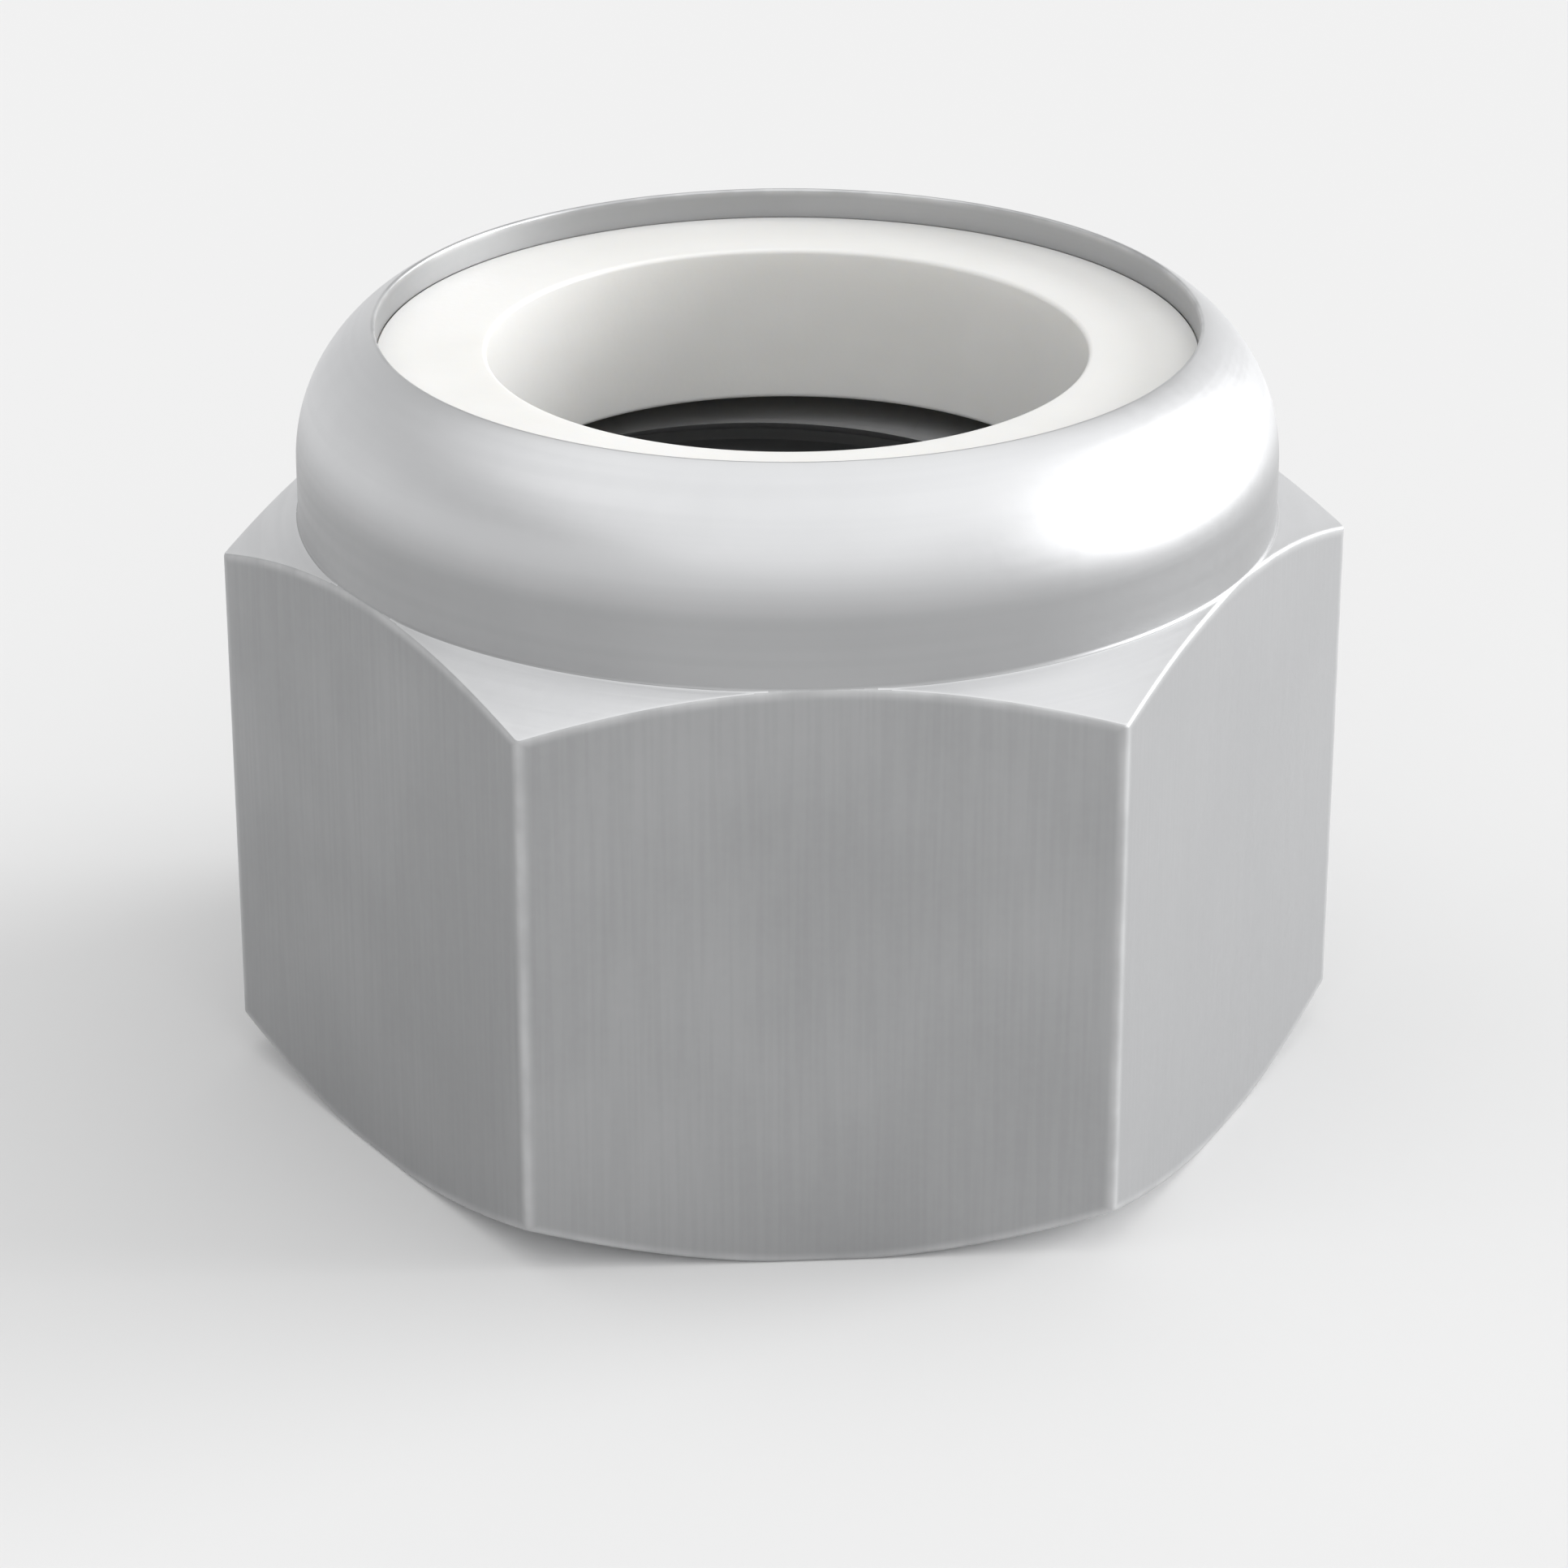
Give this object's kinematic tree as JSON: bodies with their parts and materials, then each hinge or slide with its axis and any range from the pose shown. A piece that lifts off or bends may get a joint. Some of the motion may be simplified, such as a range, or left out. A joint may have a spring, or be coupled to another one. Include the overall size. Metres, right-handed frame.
{
  "type": "nylon insert lock nut",
  "caption": "Hexagon lock nut with a round collar rolled in over a captive nylon ring, which grips the bolt's thread so that the nut can't work loose.",
  "frame": {"origin": "centre of the bearing face, on the thread's axis", "axes": "+Z along the thread's axis, from the bearing face to the nylon ring; -Y is the outward normal of one flat, and two corners lie on the X axis"},
  "size_m": [0.0208, 0.018, 0.0146],
  "materials": {
    "plated_steel": "bright zinc plate over cold-formed steel, satin",
    "natural_nylon": "natural undyed nylon, smooth and slightly waxy"
  },
  "bodies": {
    "root": {"nut_body": "plated_steel", "nylon_ring": "natural_nylon"}
  },
  "joints": []
}
